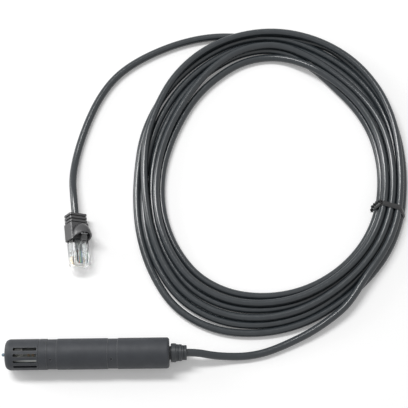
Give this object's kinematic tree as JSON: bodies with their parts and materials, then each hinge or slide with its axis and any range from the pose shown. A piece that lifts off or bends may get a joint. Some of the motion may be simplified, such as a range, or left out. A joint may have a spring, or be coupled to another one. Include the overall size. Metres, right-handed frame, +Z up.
{
  "type": "rack temperature sensor",
  "caption": "Cylindrical rack temperature probe with a slotted cap, ribbed strain relief, tied coil of cable and a booted clear modular plug.",
  "frame": {"origin": "on the resting surface, under the middle of the probe from bead tip to strain relief end", "axes": "+X along the probe from its slotted tip to its cable, +Y towards the coil, +Z up"},
  "size_m": [0.2583, 0.2364, 0.019],
  "materials": {
    "probe_plastic": "fine moulded matte",
    "board_mask": "pale solder mask",
    "element_white": "moulded white",
    "tinned_metal": "tinned",
    "bead_resin": "dipped resin",
    "chip_black": "moulded",
    "capacitor_tan": "fired",
    "relief_rubber": "moulded satin",
    "cable_jacket": "satin extruded",
    "tie_plastic": "thin film over wire",
    "boot_plastic": "moulded satin",
    "plug_clear": "clear",
    "contact_gold": "gold plated",
    "core_black": "extruded",
    "core_red": "extruded",
    "core_green": "extruded",
    "core_blue": "extruded"
  },
  "bodies": {
    "root": {"sensor_cap": "probe_plastic", "middle_barrel": "probe_plastic", "rear_barrel": "probe_plastic", "circuit_board": "board_mask", "sensing_element": "element_white", "element_pins": "tinned_metal", "thermistor_bead": "bead_resin", "thermistor_leads": "tinned_metal", "interface_chip": "chip_black", "chip_legs": "tinned_metal", "chip_capacitors": "capacitor_tan", "chip_resistors": "chip_black", "solder_joints": "tinned_metal", "strain_relief": "relief_rubber", "jacket_probe_end": "cable_jacket", "cable_lead": "cable_jacket", "cable_coil": "cable_jacket", "cable_tail": "cable_jacket", "twist_tie": "tie_plastic", "jacket_plug_end": "cable_jacket", "plug_boot": "boot_plastic", "plug_body": "plug_clear", "plug_contacts": "contact_gold", "probe_core_black": "core_black", "plug_core_black": "core_black", "probe_core_red": "core_red", "plug_core_red": "core_red", "probe_core_green": "core_green", "plug_core_green": "core_green", "probe_core_blue": "core_blue", "plug_core_blue": "core_blue"}
  },
  "joints": []
}
